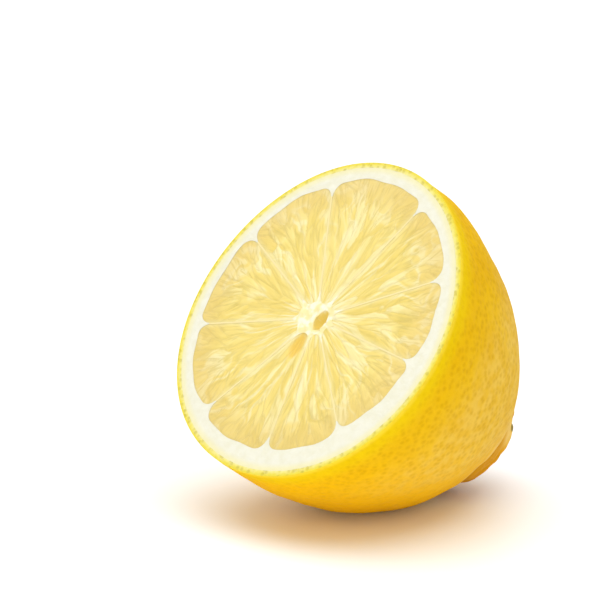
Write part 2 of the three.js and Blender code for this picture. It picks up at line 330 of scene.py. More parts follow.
# %% Driving dimensions of the fruit
# A rounded curve falls from 1 to 0 as (1 - share ** a) ** (1 / b). CLOSING and CURVE are the
# two powers a and b, and the body's are its shoulder and its roundness.
RIM_RADIUS = 31.21
RIM_WAVES = [
    {"count": 2, "cosine": -0.18, "sine": -0.37},
    {"count": 3, "cosine": 0, "sine": -0.29},
]
BODY_DEPTH = 45.65
BODY_SHOULDER = 2.39
BODY_ROUNDNESS = 1.756
COLLAR_START = 37.1
COLLAR_END = 48.2
COLLAR_ROOT_RADIUS = 17.3
COLLAR_END_RADIUS = 9.45
COLLAR_CLOSING = (8.5, 1.5)
COLLAR_BLEND = 0.8
CAP_START = 45.2
CAP_CURVE = (1.5, 3.2)
FURROW_AT = 40.3
FURROW_DEPTH = 1.05
FURROW_WIDTH = 1.45
BEND_START = 34.1
BEND_LENGTH = 13.0
BEND = (2.23, 0.47)
DIMPLE_DEPTH = 1.8
DIMPLE_RADIUS = 4.6
ZEST = 1.05


def body_radius(depth, inset=0.0):
    share = np.clip(depth / (BODY_DEPTH - inset), 0, 1)
    return (RIM_RADIUS - inset) * (1 - share ** BODY_SHOULDER) ** (1 / BODY_ROUNDNESS)


def out_of_round(angle):
    """How far the rim departs from a circle."""
    return sum(
        wave["cosine"] * np.cos(wave["count"] * angle) + wave["sine"] * np.sin(wave["count"] * angle)
        for wave in RIM_WAVES
    )


def bend_share(depth):
    """How far the axis stands aside at one depth, as a share of the whole bend."""
    return np.clip((depth - BEND_START) / BEND_LENGTH, 0, 1)


def collar_radius(depth):
    share = np.clip((depth - COLLAR_START) / (COLLAR_END - COLLAR_START), 0, 1)
    straight = COLLAR_ROOT_RADIUS + (COLLAR_END_RADIUS - COLLAR_ROOT_RADIUS) * share
    return straight * (1 - share ** COLLAR_CLOSING[0]) ** (1 / COLLAR_CLOSING[1])


def skin_radius(depth):
    joined = np.logaddexp(body_radius(depth) / COLLAR_BLEND, collar_radius(depth) / COLLAR_BLEND)
    return COLLAR_BLEND * joined - FURROW_DEPTH * soft_bump(depth, FURROW_AT, FURROW_WIDTH)


COLLAR_MIDDLE = (COLLAR_START + COLLAR_END) / 2
print("collar radius at its middle, mm:", round(float(collar_radius(COLLAR_MIDDLE)), 2))

# %% [markdown]
# ## The outline from rim to stem
# The side is known as a radius for each depth, and the blunt end as a depth for each radius. So
# each is sampled in its own way, and the whole outline is then divided again at even steps.
# That keeps the rows of the mesh equally far apart, also where the outline turns a corner.

# %% Outline
SIDE_STEP = 0.1
CAP_POINTS = 200


def evenly(points, count):
    """Points at even distances along a line of points."""
    steps = np.r_[0, np.cumsum(np.linalg.norm(np.diff(points, axis=0), axis=1))]
    wanted = np.linspace(0, steps[-1], count)
    return np.stack([np.interp(wanted, steps, points[:, axis]) for axis in (0, 1)], axis=1)


def skin_profile(count):
    """The outline from the rim to the dimple, as rows of radius and depth."""
    side_depths = np.arange(0, CAP_START, SIDE_STEP)
    side = np.stack([skin_radius(side_depths), side_depths], axis=1)
    cap_radius = skin_radius(np.array([CAP_START]))[0]
    radius = cap_radius * np.cos(np.linspace(0, math.pi / 2, CAP_POINTS))
    share = (1 - (radius / cap_radius) ** CAP_CURVE[0]) ** (1 / CAP_CURVE[1])
    dimple = DIMPLE_DEPTH * soft_bump(radius, 0, DIMPLE_RADIUS)
    cap = np.stack([radius, CAP_START + (COLLAR_END - CAP_START) * share - dimple], axis=1)
    return evenly(np.vstack([side, cap]), count)


print("deepest row of the outline, mm:", round(float(skin_profile(100)[:, 1].max()), 2))

# %% [markdown]
# ## Skin relief
# Lemon skin isn't smooth. Pleats gather round the furrow at the stem end and slow swellings run
# over the body. The flank swells out in two places, and the collar has a small nick beside one
# of them. Oil glands under the skin raise a fine orange-peel texture, and the collar is lumpy.
# All these are big enough to be real shape in the mesh, which shows in the outline as well.
# The pits over the single glands, about a millimetre apart, are left to the material.

# %% Skin relief
PLEAT_HEIGHT = 0.4
PLEAT_REACH = 4.0
PLEATS = [
    {"count": 7, "height": 0.6, "start": 1},
    {"count": 11, "height": 0.4, "start": 2.2},
    {"count": 19, "height": 0.22, "start": 0.5},
    {"count": 29, "height": 0.18, "start": 4},
]
SWELL_HEIGHT = 0.14
SWELL_START = 8
SWELL_TURNS = (3, 2)
SWELL_PACES = (0.19, 0.27)
FLANK_SWELLINGS = [
    {"height": 0.7, "depth": 33.1, "length": 11.7, "angle": 0.167, "width": 0.273},
    {"height": 0.5, "depth": 8, "length": 5, "angle": 1.22, "width": 0.35},
]
COLLAR_NICK = {"height": 0.65, "start": 41, "end": 44, "angle": 0.416, "width": 0.15}
PEEL_HEIGHT = 0.045
PEEL_WAVELENGTH = 4.2
PEEL_START = (0.2, 3)
LUMP_HEIGHT = 0.16
LUMP_WAVELENGTH = 2.6
LUMP_START = (FURROW_AT, FURROW_AT + 4)
POLE_RADIUS = 6
OUTWARD_DROP = 0.3


def near_angle(angle, spot):
    """1 in the direction of a spot, and less to both sides of it."""
    return np.exp(-(2 * np.sin((angle - spot["angle"]) / 2) / spot["width"]) ** 2)


def flank_relief(depth, angle):
    """The swellings of the flank, less the nick in the collar."""
    swelling = sum(
        spot["height"] * soft_bump(depth, spot["depth"], spot["length"]) * near_angle(angle, spot)
        for spot in FLANK_SWELLINGS
    )
    past = smooth_step(depth, COLLAR_NICK["start"], COLLAR_NICK["end"])
    return swelling - COLLAR_NICK["height"] * past * near_angle(angle, COLLAR_NICK)


def skin_relief(depth, angle):
    """Pleats round the furrow, slow swellings over the body, and the flank's own shape."""
    pleats = sum(
        pleat["height"] * np.cos(pleat["count"] * angle + pleat["start"]) for pleat in PLEATS
    )
    pleated = PLEAT_HEIGHT * soft_bump(depth, FURROW_AT, PLEAT_REACH) * pleats
    swell = np.sin(SWELL_TURNS[0] * angle + SWELL_PACES[0] * depth)
    swell = swell * np.sin(SWELL_TURNS[1] * angle + SWELL_PACES[1] * depth)
    swollen = SWELL_HEIGHT * smooth_step(depth, 0, SWELL_START) * swell
    return pleated + swollen + flank_relief(depth, angle)


def on_axis(reach, depth, angle):
    """Points at a distance from the fruit's axis, which bends at the stem end."""
    x = reach * np.cos(angle) + BEND[0] * bend_share(depth)
    y = reach * np.sin(angle) + BEND[1] * bend_share(depth)
    return np.stack([x, y, np.broadcast_to(-depth, x.shape)], axis=-1)


def skin_points(radius, depth, angle):
    relief = skin_relief(depth, angle) * np.minimum(radius / COLLAR_END_RADIUS, 1)
    reach = radius + (radius / RIM_RADIUS) ** 2 * out_of_round(angle) + relief
    points = on_axis(reach, depth, angle)
    outward = np.stack([np.cos(angle), np.sin(angle), np.full_like(angle, -OUTWARD_DROP)], axis=-1)
    off_pole = np.minimum(radius / POLE_RADIUS, 1)
    peel = waves(points.reshape(-1, 3), PEEL_WAVELENGTH, seed=3).reshape(angle.shape)
    lumps = waves(points.reshape(-1, 3), LUMP_WAVELENGTH, seed=5).reshape(angle.shape)
    height = PEEL_HEIGHT * peel * smooth_step(depth, *PEEL_START) * off_pole
    height = height + LUMP_HEIGHT * lumps * smooth_step(depth, *LUMP_START) * off_pole
    return points + outward * height[..., None]


print("swellings on the flank:", len(FLANK_SWELLINGS), "and pleats of", len(PLEATS), "sizes")

# %% [markdown]
# ## Where the skin changes colour, and where light and shade are painted on it
# A lemon isn't one yellow, and some of these changes are painted light and shade. Low on the
# fruit the skin is painted a lighter, warmer yellow: a painted fill light for the shade under
# the belly. The flank carries a painted sheen, laid on as pale flecks, which stands in for a
# reflection and fades towards the top. Beside the cut the skin is a fresher, greener yellow,
# and its very edge is light. At the stem end the collar is a brownish yellow, partly its own
# tint and partly painted shade. It lies behind a furrow that is painted dark as painted shade,
# and a pale lip that is a painted highlight. The collar's cheek carries a small healed scar,
# and there the lip's painted highlight takes the place of the collar's and furrow's painted
# shade. These places could be painted by hand on an image. Here each of them is a number from
# 0 to 1 on every point of the mesh, worked out from where the point lies, and the finish reads
# it under its name.

# %% Colour places on the skin
# A LINE is the middle and the width of a soft bump. A STRENGTH is a mean and a swing. A CENTRE
# is a point. Each other pair is where a soft step starts and ends, in millimetres.
# BELLY_HEIGHT is where the painted fill light low on the fruit fades out.
BELLY_HEIGHT = (2, 20)
GREENER_REACH = (0.3, 6.0)
EDGE_REACH = (0.0, 1.4)
# The flank's painted sheen: where it starts from the cut and the floor, and where it fades at the
# top.
SHEEN_FROM_CUT = (4, 20)
SHEEN_FROM_FLOOR = (3, 14)
SHEEN_TOP = (28, 50)
SHEEN_TOP_LOSS = 0.8
# COLLAR_FROM is where the collar's brownish yellow starts, partly its own tint and partly painted
# shade.
COLLAR_FROM = (FURROW_AT - 0.9, FURROW_AT + 0.6)
# FURROW_LINE is the band of painted shade along the furrow.
FURROW_LINE = (FURROW_AT + 0.3, 0.8)
# The lip carries a painted highlight, stronger towards LIP_SIDE.
LIP_LINE = (FURROW_AT - 2.4, 1.7)
LIP_SIDE = -0.4
LIP_STRENGTH = (0.6, 0.4)
# Round the cheek the lip's painted highlight takes the place of the collar's and furrow's painted
# shade.
CHEEK_CENTRE = (13.9, 1.6, -44.2)
CHEEK_REACH = (1.0, 5.0)
SCAR_CENTRE = (12.5, 3.2, -45.9)
SCAR_REACH = (0.4, 1.3)


def near_point(points, centre, reach):
    """1 close to a point, and 0 beyond its reach."""
    return 1 - smooth_step(np.linalg.norm(points - centre, axis=1), *reach)


def colour_places(points):
    behind = -points[:, 2]
    above_floor = to_part(points)[:, 2] / MM
    angle = np.arctan2(points[:, 1], points[:, 0])
    cheek = near_point(points, CHEEK_CENTRE, CHEEK_REACH)
    lip_side = LIP_STRENGTH[0] + LIP_STRENGTH[1] * np.cos(angle - LIP_SIDE)
    shown = 1 - SHEEN_TOP_LOSS * smooth_step(above_floor, *SHEEN_TOP)
    flank = smooth_step(behind, *SHEEN_FROM_CUT) * smooth_step(above_floor, *SHEEN_FROM_FLOOR)
    return {
        # Low on the fruit: a painted fill light in the colour, and fainter pits on the smoother
        # belly.
        "belly": 1 - smooth_step(above_floor, *BELLY_HEIGHT),
        "by_cut": 1 - smooth_step(behind, *GREENER_REACH),
        "edge": 1 - smooth_step(behind, *EDGE_REACH),
        # Painted sheen on the flank, laid on as pale flecks.
        "flank_sheen": flank * shown,
        # The collar's brownish yellow: partly its own tint, partly painted shade.
        "collar": smooth_step(behind, *COLLAR_FROM) * (1 - cheek),
        # Painted shade in the furrow.
        "furrow": soft_bump(behind, *FURROW_LINE) * (1 - cheek),
        # Painted highlight on the lip, and on the collar's cheek.
        "lip_highlight": np.maximum(lip_side * soft_bump(behind, *LIP_LINE), cheek),
        "scar": near_point(points, SCAR_CENTRE, SCAR_REACH),
    }


print("places on a point of the rim:", sorted(colour_places(np.array([[RIM_RADIUS, 0.0, 0.0]]))))

# %% [markdown]
# ## Skin mesh
# The skin is a shell of its own, as thick as the zest. Its rows start at the pole inside, run up
# the inner surface to the cut, cross the cut edge, and go down the outer surface to the other
# pole. A solidify modifier could thicken a single surface, but the pleats and the collar are
# outside only, so the inner surface has plain rows of its own. Each point also keeps how deep
# it lies in the zest, for the colours of the cut.

# %% Skin mesh
SKIN_COLUMNS = 400
SKIN_ROWS = 170
INSIDE_ROWS = 14
RIM_ROWS = 6


def layer_rows(inset, angles, rows):
    """Rows of the round inner surface at a depth of inset under the skin, rim first."""
    turn = np.linspace(0, math.pi / 2, rows + 1)[:-1, None]
    depth = np.sin(turn) ** (2 / BODY_SHOULDER) * (BODY_DEPTH - inset)
    radius = body_radius(depth, inset)
    return on_axis(radius + (radius / RIM_RADIUS) ** 2 * out_of_round(angles), depth, angles)


def layer_pole(inset):
    """The deepest point of that inner surface."""
    deepest = BODY_DEPTH - inset
    return [BEND[0] * bend_share(deepest), BEND[1] * bend_share(deepest), -deepest]


def make_skin():
    angles = np.linspace(0, 2 * math.pi, SKIN_COLUMNS, endpoint=False)
    profile = skin_profile(SKIN_ROWS + 1)
    radius, angle = np.meshgrid(profile[:-1, 0], angles, indexing="ij")
    depth = np.broadcast_to(profile[:-1, 1:], radius.shape)
    outside = skin_points(radius, depth, angle)
    inside = layer_rows(ZEST, angles, INSIDE_ROWS)[::-1]
    across = np.linspace(0, 1, RIM_ROWS + 1)[1:-1]
    rim = inside[-1] + (outside[0] - inside[-1]) * across[:, None, None]
    rows = np.concatenate([inside, rim, outside])
    poles = [layer_pole(ZEST), [*BEND, -profile[-1, 1]]]
    points = np.vstack([rows.reshape(-1, 3), poles])
    row_depths = np.r_[np.full(INSIDE_ROWS, ZEST), ZEST * (1 - across), np.zeros(SKIN_ROWS)]
    depth_in = np.r_[np.repeat(row_depths, SKIN_COLUMNS), ZEST, 0]
    values = {"depth_in": depth_in, **colour_places(points)}
    piece = make_piece("zest_skin", points, shell_faces(len(rows), SKIN_COLUMNS), values)
    finish = np.zeros(len(piece.data.polygons), int)
    finish[:(INSIDE_ROWS + RIM_ROWS - 1) * SKIN_COLUMNS] = 1
    inner_fan = (len(rows) - 1) * SKIN_COLUMNS
    finish[inner_fan:inner_fan + SKIN_COLUMNS] = 1
    return piece, finish


skin, skin_finish = make_skin()

# %% [markdown]
# ## Segments and membranes
# Nine membranes run out from the heart, at the angles below. Between two of them lies one
# segment. Its outer corners are round, so a white notch is left where each membrane meets the
# pith. The grids of pith and pulp both follow these two edges, so they meet without a gap.
# Cutting the segments out of a disc with a boolean would give the same outline, but no rows
# and columns that run along it.

# %% Where the segments end
MEMBRANE_ANGLES = np.radians([26.9, 64.8, 113.9, 152.4, 192.9, 234.6, 275.9, 311.3, 350.5])
HEART_RADII = np.array([3.3, 2.9, 3.5, 4.6, 4.2, 3.4, 3.4, 3.6, 3.6])
HEART_FLARE = 1.5
HEART_FLARE_POWER = 3
CORNER_RADII = np.array([2.3, 2.6, 2.2, 2.4, 2.2, 2.6, 2.2, 2.0, 2.3])
BULGES = np.array([0.1, 0.5, 0.35, 0.2, 0.4, 0.35, 0.4, 0.1, 0.15])
EDGE_WAVES = [
    {"count": 11, "height": 0.16, "turn": 1},
    {"count": 23, "height": 0.1, "turn": 0},
]
PULP_RADIUS = 26.9
PULP_SHIFT = (-0.65, 0.8)
PULP_DEPTH = 37.0
PULP_FULLNESS = 2.6
POCKET_RADIUS = PULP_RADIUS + 0.9
MEMBRANE_HALF = 0.15
SEGMENTS = len(MEMBRANE_ANGLES)
SEGMENT_WIDTHS = np.diff(np.r_[MEMBRANE_ANGLES, MEMBRANE_ANGLES[0] + 2 * math.pi])


def pulp_circle(angle):
    """The circle that the segments fill, which sits a little off the axis."""
    return PULP_RADIUS + PULP_SHIFT[0] * np.cos(angle) + PULP_SHIFT[1] * np.sin(angle)


def outer_edge(number, share, angle):
    """Radius of a segment's outer edge. Share runs from 0 to 1 across the segment."""
    circle = pulp_circle(angle) + BULGES[number] * (1 - (2 * share - 1) ** 2)
    for wave in EDGE_WAVES:
        circle = circle + wave["height"] * np.sin(wave["count"] * angle + wave["turn"] * number)
    nearest = np.minimum(share, 1 - share) * SEGMENT_WIDTHS[number]
    corner = CORNER_RADII[number]
    inside = np.clip(corner + MEMBRANE_HALF - circle * np.sin(nearest), 0, corner)
    return circle - corner + np.sqrt(corner ** 2 - inside ** 2)


def inner_edge(number, share):
    """Radius where a segment stops at the heart, further out beside the membranes."""
    return HEART_RADII[number] + HEART_FLARE * np.abs(2 * share - 1) ** HEART_FLARE_POWER


def pocket_depth(x, y):
    """How deep a segment reaches below the cut at one place."""
    away = np.hypot(x - PULP_SHIFT[0], y - PULP_SHIFT[1]) / POCKET_RADIUS
    return PULP_DEPTH * (1 - np.clip(away, 0, 1) ** 2) ** (1 / PULP_FULLNESS)


print("segment widths, degrees:", np.round(np.degrees(SEGMENT_WIDTHS), 1))

# %% [markdown]
# ## Hollows near the heart
# The white heart has a small hollow, and next to it is the golden bed that a seed left.
# Both are oval dents in the surface, given by how far a point lies from their middle,
# measured in their own radii. Pressing them into a grid that is there already is simpler than
# cutting holes, and it leaves the mesh closed.

# %% Hollows
HOLLOW = {"centre": (1.1, -0.3), "half": (1.25, 2.0), "turn": -0.2, "depth": 2.2}
SEED_BED = {"centre": (-1.5, -5.8), "half": (1.5, 3.1), "turn": -0.15, "depth": 0.35}


def hollow_reach(hollow, x, y):
    """0 in the middle of a hollow and 1 on its edge."""
    dx, dy = x - hollow["centre"][0], y - hollow["centre"][1]
    turn = hollow["turn"]
    across = dx * math.cos(turn) + dy * math.sin(turn)
    along = -dx * math.sin(turn) + dy * math.cos(turn)
    return np.hypot(across / hollow["half"][0], along / hollow["half"][1])


def hollow_drop(hollow, x, y):
    """How far a hollow lowers the surface."""
    reach = np.clip(hollow_reach(hollow, x, y), 0, 1)
    return hollow["depth"] * np.sqrt(1 - reach ** 2)


print("hollow is", 2 * HOLLOW["half"][0], "by", 2 * HOLLOW["half"][1], "mm")

# %% [markdown]
# ## Pith
# The pith is a spongy white shell. Its top is a grid of rings: heart, pockets for the
# segments, and the outer ring. The membranes are thin, so a column of the grid runs along each
# of their sides, at a fixed distance from the middle of the wall whatever the radius. The
# whole pith stays one mesh, as it is one tissue.

# %% The rings of the pith's top
PITH_COLUMNS = 60
WALL_STEP = 0.12
SMALLEST_RADIUS = 2.0
# Roughly where each ring starts and how far it reaches, only to space its columns.
RING_RADII = {"heart": (0, 3.6), "pocket": (4.4, 22), "ring": (27.5, 0)}
PITH_LAP = 0.02
POCKET_MARGINS = (0.05, 0.02)
POCKET_CLEARANCE = 0.15


def pith_columns(number, radius):
    """Angles across a segment, with two columns close to each membrane."""
    width = SEGMENT_WIDTHS[number]
    safe = max(radius, SMALLEST_RADIUS)
    wall = MEMBRANE_HALF / safe
    foot = (MEMBRANE_HALF + WALL_STEP) / safe
    return np.r_[0, wall, np.linspace(foot, width - foot, PITH_COLUMNS - 3), width - wall]


def pith_row(zone, share):
    """One closed ring of the pith's top, in the heart, the pockets or the outer ring."""
    first_radius, growth = RING_RADII[zone]
    ring = []
    for number in range(SEGMENTS):
        across = pith_columns(number, first_radius + share * growth)
        angle = MEMBRANE_ANGLES[number] + across
        part = across / SEGMENT_WIDTHS[number]
        inner, outer = inner_edge(number, part), outer_edge(number, part, angle)
        rim = RIM_RADIUS - ZEST + PITH_LAP + out_of_round(angle)
        radius = {
            "heart": share * inner,
            "pocket": inner + POCKET_MARGINS[0] + share * (outer - inner - sum(POCKET_MARGINS)),
            "ring": outer + share * (rim - outer),
        }[zone]
        x, y = radius * np.cos(angle), radius * np.sin(angle)
        height = np.zeros_like(x)
        if zone == "pocket":
            height = -pocket_depth(x, y) - POCKET_CLEARANCE
            height[[0, 1, -1]] = 0
        ring.append(np.stack([x, y, height], axis=1))
    return np.vstack(ring)


print("columns round the pith:", SEGMENTS * PITH_COLUMNS)

# %% [markdown]
# ## Pith mesh
# A knife leaves the sponge a little uneven, and it tears more in the heart. Two waves of noise,
# one for the sponge and one for its fibres, lift the cut, but hardly the thin tops of the
# membranes. The mesh keeps where the hollow, the walls and the zest are, so that the finish
# can tint them.

# %% Pith mesh
HEART_ROWS = 30
POCKET_ROWS = 20
RING_ROWS = 16
PITH_SIDE_ROWS = 20
POCKETS = slice(HEART_ROWS, HEART_ROWS + POCKET_ROWS)
FLESH_WAVELENGTH = 2.2
FLESH_HEIGHT = 0.04
FIBRE_WAVELENGTH = 0.9
FIBRE_HEIGHT = 0.02
HEART_HEIGHT = 0.1
HEART_FADE = (2.5, 6)
RIM_FADE = (0, 1.5)
SURFACE_LIMIT = -0.5
GOLDEN_EDGE = (0.94, 1.1)
FAR = 5.0


def pith_top():
    """Rows of the cut surface, and how far each point lies from the zest."""
    rows = [pith_row("heart", share) for share in np.linspace(0, 1, HEART_ROWS + 1)[1:]]
    rows += [pith_row("pocket", share) for share in np.linspace(0, 1, POCKET_ROWS)]
    rows += [pith_row("ring", share) for share in np.linspace(0, 1, RING_ROWS)]
    top = np.array(rows)
    x, y = top[..., 0], top[..., 1]
    flesh = waves(top[..., :2].reshape(-1, 2), FLESH_WAVELENGTH, seed=11).reshape(x.shape)
    fibre = waves(top[..., :2].reshape(-1, 2), FIBRE_WAVELENGTH, seed=12).reshape(x.shape)
    surface = top[..., 2] > SURFACE_LIMIT
    heart = 1 - smooth_step(np.hypot(x, y), *HEART_FADE)
    to_zest = RIM_RADIUS - ZEST + out_of_round(np.arctan2(y, x)) - np.hypot(x, y)
    rough = (FLESH_HEIGHT * flesh + FIBRE_HEIGHT * fibre) * smooth_step(to_zest, *RIM_FADE)
    rough[POCKETS] = 0
    relief = rough + HEART_HEIGHT * heart * flesh - hollow_drop(HOLLOW, x, y)
    top[..., 2] += np.where(surface, relief, 0)
    return top, to_zest


def make_pith():
    top, to_zest = pith_top()
    angles = np.arctan2(top[-1, :, 1], top[-1, :, 0])
    side = layer_rows(ZEST + PITH_LAP, angles, PITH_SIDE_ROWS)[1:]
    rows = np.concatenate([top, side])
    columns = rows.shape[1]
    centre_drop = float(hollow_drop(HOLLOW, np.zeros(1), np.zeros(1))[0])
    poles = [[0, 0, -centre_drop], layer_pole(ZEST + PITH_LAP)]
    points = np.vstack([rows.reshape(-1, 3), poles])
    on_top = len(top) * columns
    golden = 1 - smooth_step(hollow_reach(HOLLOW, points[:, 0], points[:, 1]), *GOLDEN_EDGE)
    golden[on_top:] = 0
    wall_rows = np.zeros(len(rows))
    wall_rows[POCKETS] = 1
    values = {
        "golden": golden,
        "wall": np.r_[np.repeat(wall_rows, columns), 0, 0],
        "from_axis": np.hypot(points[:, 0], points[:, 1]),
        "to_zest": np.r_[to_zest.ravel(), np.full(len(points) - on_top, FAR)],
    }
    return make_piece("pith_flesh", points, shell_faces(len(rows), columns), values)


pith = make_pith()

# %% [markdown]
# ## Juice sacs
# A segment is packed with juice sacs: drops of juice in a thin skin, long and thin, that point
# to the heart. Near the outer edge they are shorter and lean to the sides like a fan. The
# knife cuts them open, so each shows as a long cell. The cells are made as a Voronoi pattern
# with stretched distances: each point of the surface belongs to the drop that is nearest when
# lengths along the drop count less than lengths across it. The distance to the nearest drop
# makes the crown, and the difference to the next nearest makes the groove between two sacs.
# The cells of a Voronoi texture node are round. Polar coordinates would point them to the
# heart, but make them thin there and fat at the rim, so the pattern is worked out here.

# %% Where the sacs lie
# The counts are for a segment that is ROW_WIDTH wide. A wider segment holds more.
SAC_ROWS = [
    {"radius": 5.6, "count": 2, "length": 5.5, "width": 0.8},
    {"radius": 9.6, "count": 3, "length": 6.6, "width": 0.95},
    {"radius": 14.0, "count": 4, "length": 6.8, "width": 1.0},
    {"radius": 18.4, "count": 5, "length": 6.2, "width": 1.05},
    {"radius": 22.4, "count": 6, "length": 5.2, "width": 1.1},
    {"radius": 26.4, "count": 7, "length": 3.8, "width": 1.1},
]
ROW_WIDTH = math.radians(40)
SHARE_JITTER = 0.28
RADIUS_JITTER = 1.7
FAN_TURN = 0.55
FAN_REACH = (10, 26)
TURN_JITTER = {"start": 0.08, "growth": 0.16, "radius": 27}
LENGTH_SPREAD = (0.8, 1.25)
WIDTH_SPREAD = (0.8, 1.2)
SAC_SEED = 21


def place_sacs(number, random):
    """Centre, direction, length, width, tone and tilt of every sac in one segment."""
    sacs = []
    for row in SAC_ROWS:
        count = max(1, round(row["count"] * SEGMENT_WIDTHS[number] / ROW_WIDTH))
        for place in range(count):
            share = (place + 0.5 + random.uniform(-SHARE_JITTER, SHARE_JITTER)) / count
            angle = MEMBRANE_ANGLES[number] + share * SEGMENT_WIDTHS[number]
            radius = row["radius"] + random.uniform(-RADIUS_JITTER, RADIUS_JITTER)
            fan = (2 * share - 1) * FAN_TURN * smooth_step(radius, *FAN_REACH)
            jitter = TURN_JITTER["start"] + TURN_JITTER["growth"] * radius / TURN_JITTER["radius"]
            sacs.append({
                "x": radius * math.cos(angle),
                "y": radius * math.sin(angle),
                "turn": angle + fan + random.normal() * jitter,
                "length": row["length"] * random.uniform(*LENGTH_SPREAD),
                "width": row["width"] * random.uniform(*WIDTH_SPREAD),
                "tone": random.uniform(),
                "tilt": random.normal(),
            })
    return {key: np.array([sac[key] for sac in sacs]) for key in sacs[0]}


print("sacs in a segment of 40 degrees:", sum(row["count"] for row in SAC_ROWS))

# %% [markdown]
# ## From sacs to a pattern
# The pattern gives five things at each point: the crown, the groove, the sac's own tone, how
# its face tilts, and a flow, which is a place in a space of its own that runs along the
# sac. A noise texture that is looked up at the flow makes streaks along each sac.

# %% Sac pattern
SAC_PLUMPNESS = 0.3
FLOW_STEP = 3.7


def sac_pattern(x, y, sacs):
    """Crown, groove, tone, tilt and flow of the sac at each point."""
    dx, dy = x[:, None] - sacs["x"], y[:, None] - sacs["y"]
    along = dx * np.cos(sacs["turn"]) + dy * np.sin(sacs["turn"])
    across = -dx * np.sin(sacs["turn"]) + dy * np.cos(sacs["turn"])
    plump = 1 + SAC_PLUMPNESS * np.clip(along / sacs["length"], -1, 1)
    away = np.hypot(along / sacs["length"], across / (sacs["width"] * plump))
    order = np.argsort(away, axis=1)[:, :2]
    pick = np.arange(len(x))
    nearest, second = away[pick, order[:, 0]], away[pick, order[:, 1]]
    own = order[:, 0]
    return {
        "crown": nearest,
        "groove": second - nearest,
        "tone": sacs["tone"][own],
        "tilt": sacs["tilt"][own] * along[pick, own] / sacs["length"][own],
        "flow": np.stack([across[pick, own], along[pick, own], FLOW_STEP * own], axis=1),
    }


first_sacs = place_sacs(0, np.random.default_rng(SAC_SEED))
print("lengths of the first sacs, mm:", np.round(first_sacs["length"][:5], 1))

# %% [markdown]
# ## The top of a segment
# The top of a segment is one grid between its two membranes, its inner end and its rounded
# outer edge. The sacs stand out of it by about a tenth of a millimetre, which is enough to
# catch the light. They sink towards the membranes. Longer streaks run from the heart to
# the rim over several sacs, as rays that sway a little. They are kept as another place for a
# noise texture to be looked up at.

# %% Segment top
PULP_ACROSS = 72
PULP_ALONG = 96
FIRST_RADIUS = 4
RADIUS_GROWTH = 22
SEGMENT_LAP = 0.03
SAC_HEIGHT = 0.09
BORDER_WIDTH = 0.5
DOME_CURVE = 0.5
SAC_SINK = 0.9
TILT_HEIGHT = 0.05
TONE_HEIGHT = 0.06
EDGE_FADE = 0.7
EDGE_SINK = 0.06
OUTER_PART = (12, 27)
RAY_RADIUS = 15.0
RAY_FAN = 0.7
RAY_STEP = 7
SWAYS = [
    {"start": 0.5, "growth": 1, "wavelength": 8.0, "seed": 31},
    {"start": 0.12, "growth": 0.3, "wavelength": 3.0, "seed": 32},
]


def segment_grid(number):
    """Place of each point of the grid, and how far it lies from the segment's edges."""
    share_along = np.linspace(0, 1, PULP_ALONG + 1)[:, None]
    width = SEGMENT_WIDTHS[number]
    margin = (MEMBRANE_HALF - SEGMENT_LAP) / (FIRST_RADIUS + share_along * RADIUS_GROWTH)
    across = margin + np.linspace(0, 1, PULP_ACROSS + 1) * (width - 2 * margin)
    angle = MEMBRANE_ANGLES[number] + across
    part = across / width
    inner, outer = inner_edge(number, part), outer_edge(number, part, angle) + SEGMENT_LAP
    radius = inner + share_along * (outer - inner)
    return {
        "x": (radius * np.cos(angle)).ravel(),
        "y": (radius * np.sin(angle)).ravel(),
        "part": part.ravel(),
        "to_rim": (outer - radius).ravel(),
        "to_heart": (radius - inner).ravel(),
    }


def sac_relief(sacs, border, to_edge):
    """Height of the sacs, which fade to a low rim at the segment's edge."""
    dome = np.sqrt(np.clip(1 - DOME_CURVE * sacs["crown"] ** 2, 0, 1))
    raised = SAC_HEIGHT * (border * dome - SAC_SINK) + TILT_HEIGHT * sacs["tilt"]
    raised = raised + TONE_HEIGHT * (sacs["tone"] - 0.5)
    fade = smooth_step(to_edge, 0, EDGE_FADE)
    return raised * fade - EDGE_SINK * (1 - fade)


def ray_places(number, flat, part):
    """Places in a space in which the rays from heart to rim run straight."""
    out = np.hypot(*flat.T)
    outside = smooth_step(out, *OUTER_PART)
    sway = 0
    for kind in SWAYS:
        reach = kind["start"] + kind["growth"] * outside
        sway = sway + reach * waves(flat, kind["wavelength"], kind["seed"])
    across = (part - 0.5) * SEGMENT_WIDTHS[number] / (1 + RAY_FAN * outside)
    return np.stack([across * RAY_RADIUS + sway, out, np.full_like(out, RAY_STEP * number)], axis=1)


print("points on the top of a segment:", (PULP_ALONG + 1) * (PULP_ACROSS + 1))

# %% [markdown]
# ## Segment meshes
# Below the top, rings that shrink towards the middle close the segment like the hull of
# a boat, so it is a whole solid and not a painted disc.

# %% Segment mesh
HULL_ROWS = 7
BED_EDGE = (0.5, 1.25)


def boundary_ring(rows, columns):
    """Point numbers round the edge of an open grid, anticlockwise as seen from above."""
    number = np.arange(rows * columns).reshape(rows, columns)
    return [*number[0, ::-1], *number[1:, 0], *number[-1, 1:], *number[-2:0:-1, -1]]


def hull_rings(rim):
    """Rings under the rim of a segment's top, and the lowest point."""
    middle = rim.mean(axis=0)
    rings = []
    for share in np.cos(np.linspace(0, math.pi / 2, HULL_ROWS + 1))[:-1]:
        flat = middle + (rim - middle) * share
        rings.append(np.c_[flat, -pocket_depth(*flat.T)])
    return [*rings, [[*middle, -pocket_depth(*middle)]]]


def segment_faces(ring, top_size):
    """The open grid of the top, the hull stitched to its edge, and the fan at the bottom."""
    faces = grid_faces(PULP_ALONG + 1, PULP_ACROSS + 1, closed=False)
    bottom = top_size + HULL_ROWS * len(ring)
    stitched = [*ring, *range(top_size, bottom)]
    for quad in grid_faces(HULL_ROWS + 1, len(ring), closed=True):
        faces.append([stitched[corner] for corner in quad])
    return faces + fan_faces(list(range(bottom - len(ring), bottom)), bottom)


